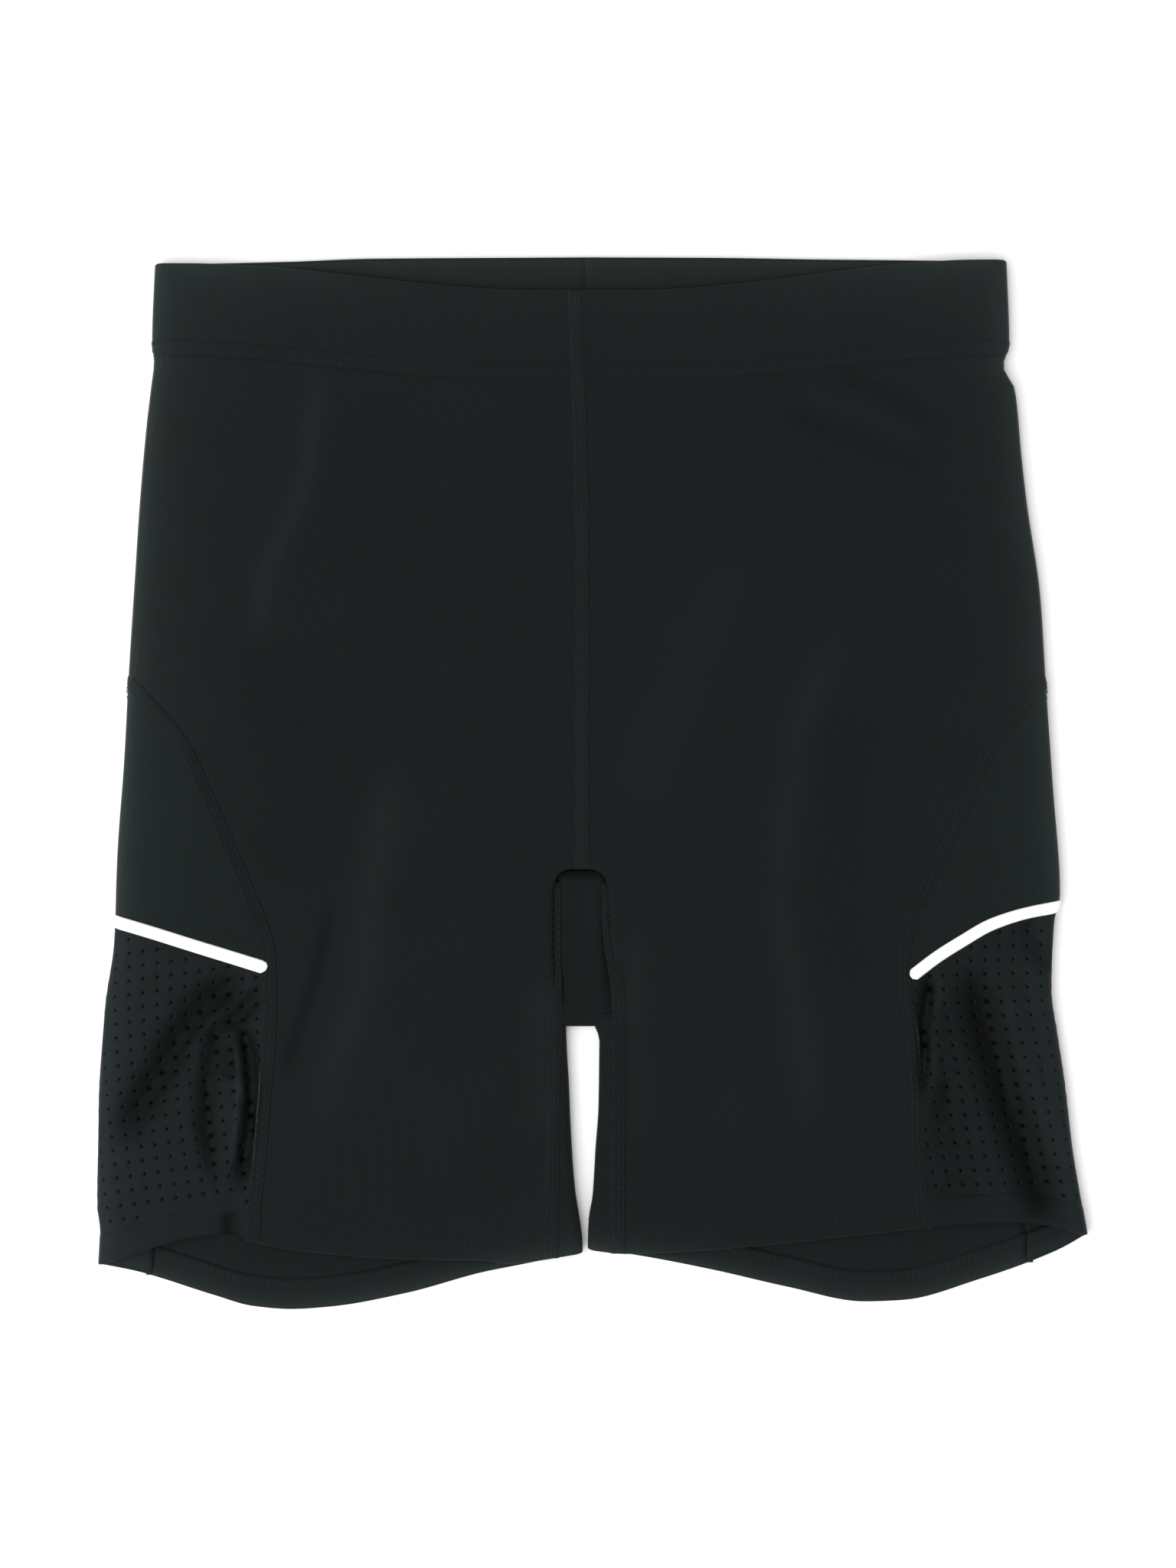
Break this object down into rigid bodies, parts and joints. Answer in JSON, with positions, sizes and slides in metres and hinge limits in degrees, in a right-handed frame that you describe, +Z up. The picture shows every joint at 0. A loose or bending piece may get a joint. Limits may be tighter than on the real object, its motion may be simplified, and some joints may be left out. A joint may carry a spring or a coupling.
{
  "type": "sports shorts",
  "caption": "Close-fitting black sports shorts with perforated side panels, reflective side piping and a wide waistband, lying flat with the front up.",
  "frame": {"origin": "middle of the overall width and length, on the surface that the back of the shorts lies on", "axes": "+X to the wearer's left across the shorts, +Y towards the waist, +Z up, the way the front faces"},
  "size_m": [0.4148, 0.44, 0.012],
  "materials": {
    "body_knit": "matte polyester and elastane jersey",
    "side_knit": "matte jersey, a little lighter than the body",
    "waistband_knit": "matte double jersey",
    "perforated_mesh": "smooth woven cloth with punched holes, slight sheen",
    "reflective_tape": "bonded glass-bead reflective tape, silver white",
    "seam_thread": "textured polyester thread over cut edges",
    "elastic": "woven elastic band",
    "facing_knit": "brushed jersey"
  },
  "bodies": {
    "right_half": {"right_body_panel": "body_knit", "right_side_panel": "side_knit", "right_mesh_panel": "perforated_mesh", "right_mesh_hem": "perforated_mesh", "right_reflective_piping": "reflective_tape", "right_side_seam": "seam_thread", "right_inseam": "seam_thread", "right_hem_turn_up": "body_knit", "right_waistband": "waistband_knit", "right_waist_seam": "seam_thread", "right_waist_elastic": "elastic", "right_waist_facing": "facing_knit", "centre_front_seam": "seam_thread", "centre_back_seam": "seam_thread", "gusset": "body_knit", "gusset_lining": "facing_knit"},
    "left_half": {"left_body_panel": "body_knit", "left_side_panel": "side_knit", "left_mesh_panel": "perforated_mesh", "left_mesh_hem": "perforated_mesh", "left_reflective_piping": "reflective_tape", "left_side_seam": "seam_thread", "left_inseam": "seam_thread", "left_hem_turn_up": "body_knit", "left_waistband": "waistband_knit", "left_waist_seam": "seam_thread", "left_waist_elastic": "elastic", "left_waist_facing": "facing_knit"}
  },
  "joints": [
    {"name": "centre_fold", "type": "hinge", "parent": "right_half", "child": "left_half", "pos_m": [0, 0, 0.0123], "axis": [0, -1, 0], "range_deg": [0, 175]}
  ]
}
